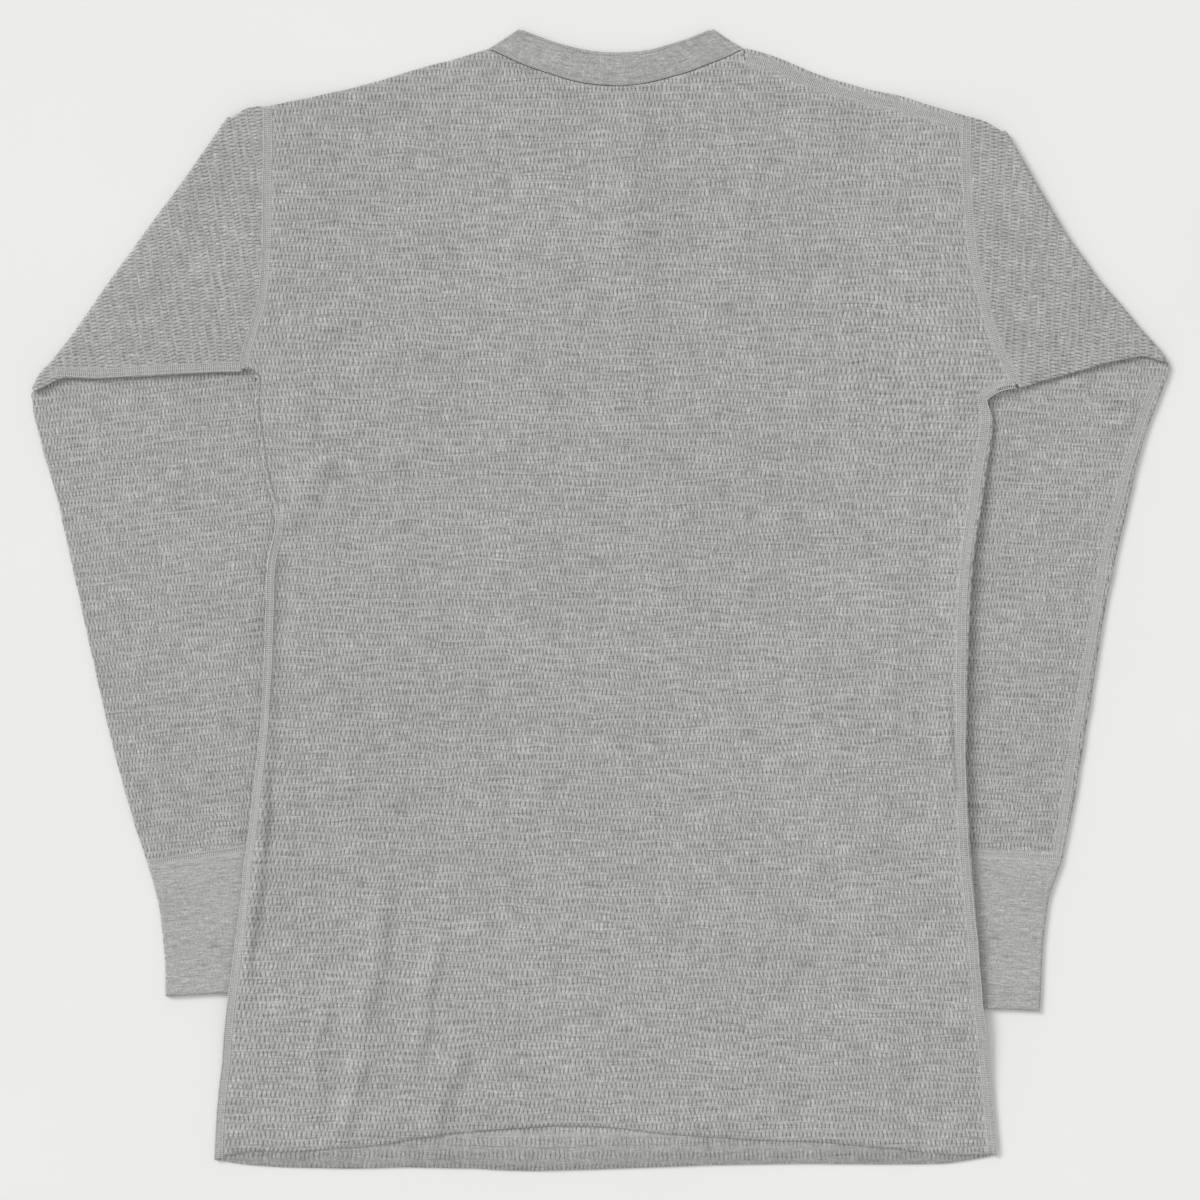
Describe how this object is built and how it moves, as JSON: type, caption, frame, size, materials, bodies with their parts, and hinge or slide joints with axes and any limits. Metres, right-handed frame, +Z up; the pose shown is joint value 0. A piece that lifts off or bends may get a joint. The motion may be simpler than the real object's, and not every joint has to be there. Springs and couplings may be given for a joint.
{
  "type": "long-sleeved thermal top",
  "caption": "Long-sleeved crew-neck thermal knit top, laid flat face down with both sleeves folded under along a diagonal.",
  "frame": {"origin": "on the surface that the top lies on, under the middle of its box", "axes": "+Z up out of the back of the top, +Y towards the neck, -X towards the wearer's left sleeve"},
  "size_m": [0.7396, 0.7434, 0.0083],
  "materials": {
    "thermal_knit": "matt heather grey waffle-like knit",
    "jersey": "matt heather grey fine jersey"
  },
  "bodies": {
    "root": {"back_panel": "thermal_knit", "front_panel": "thermal_knit", "sleeve_left": "thermal_knit", "sleeve_right": "thermal_knit", "neckband": "jersey", "cuff_left": "jersey", "cuff_right": "jersey"}
  },
  "joints": []
}
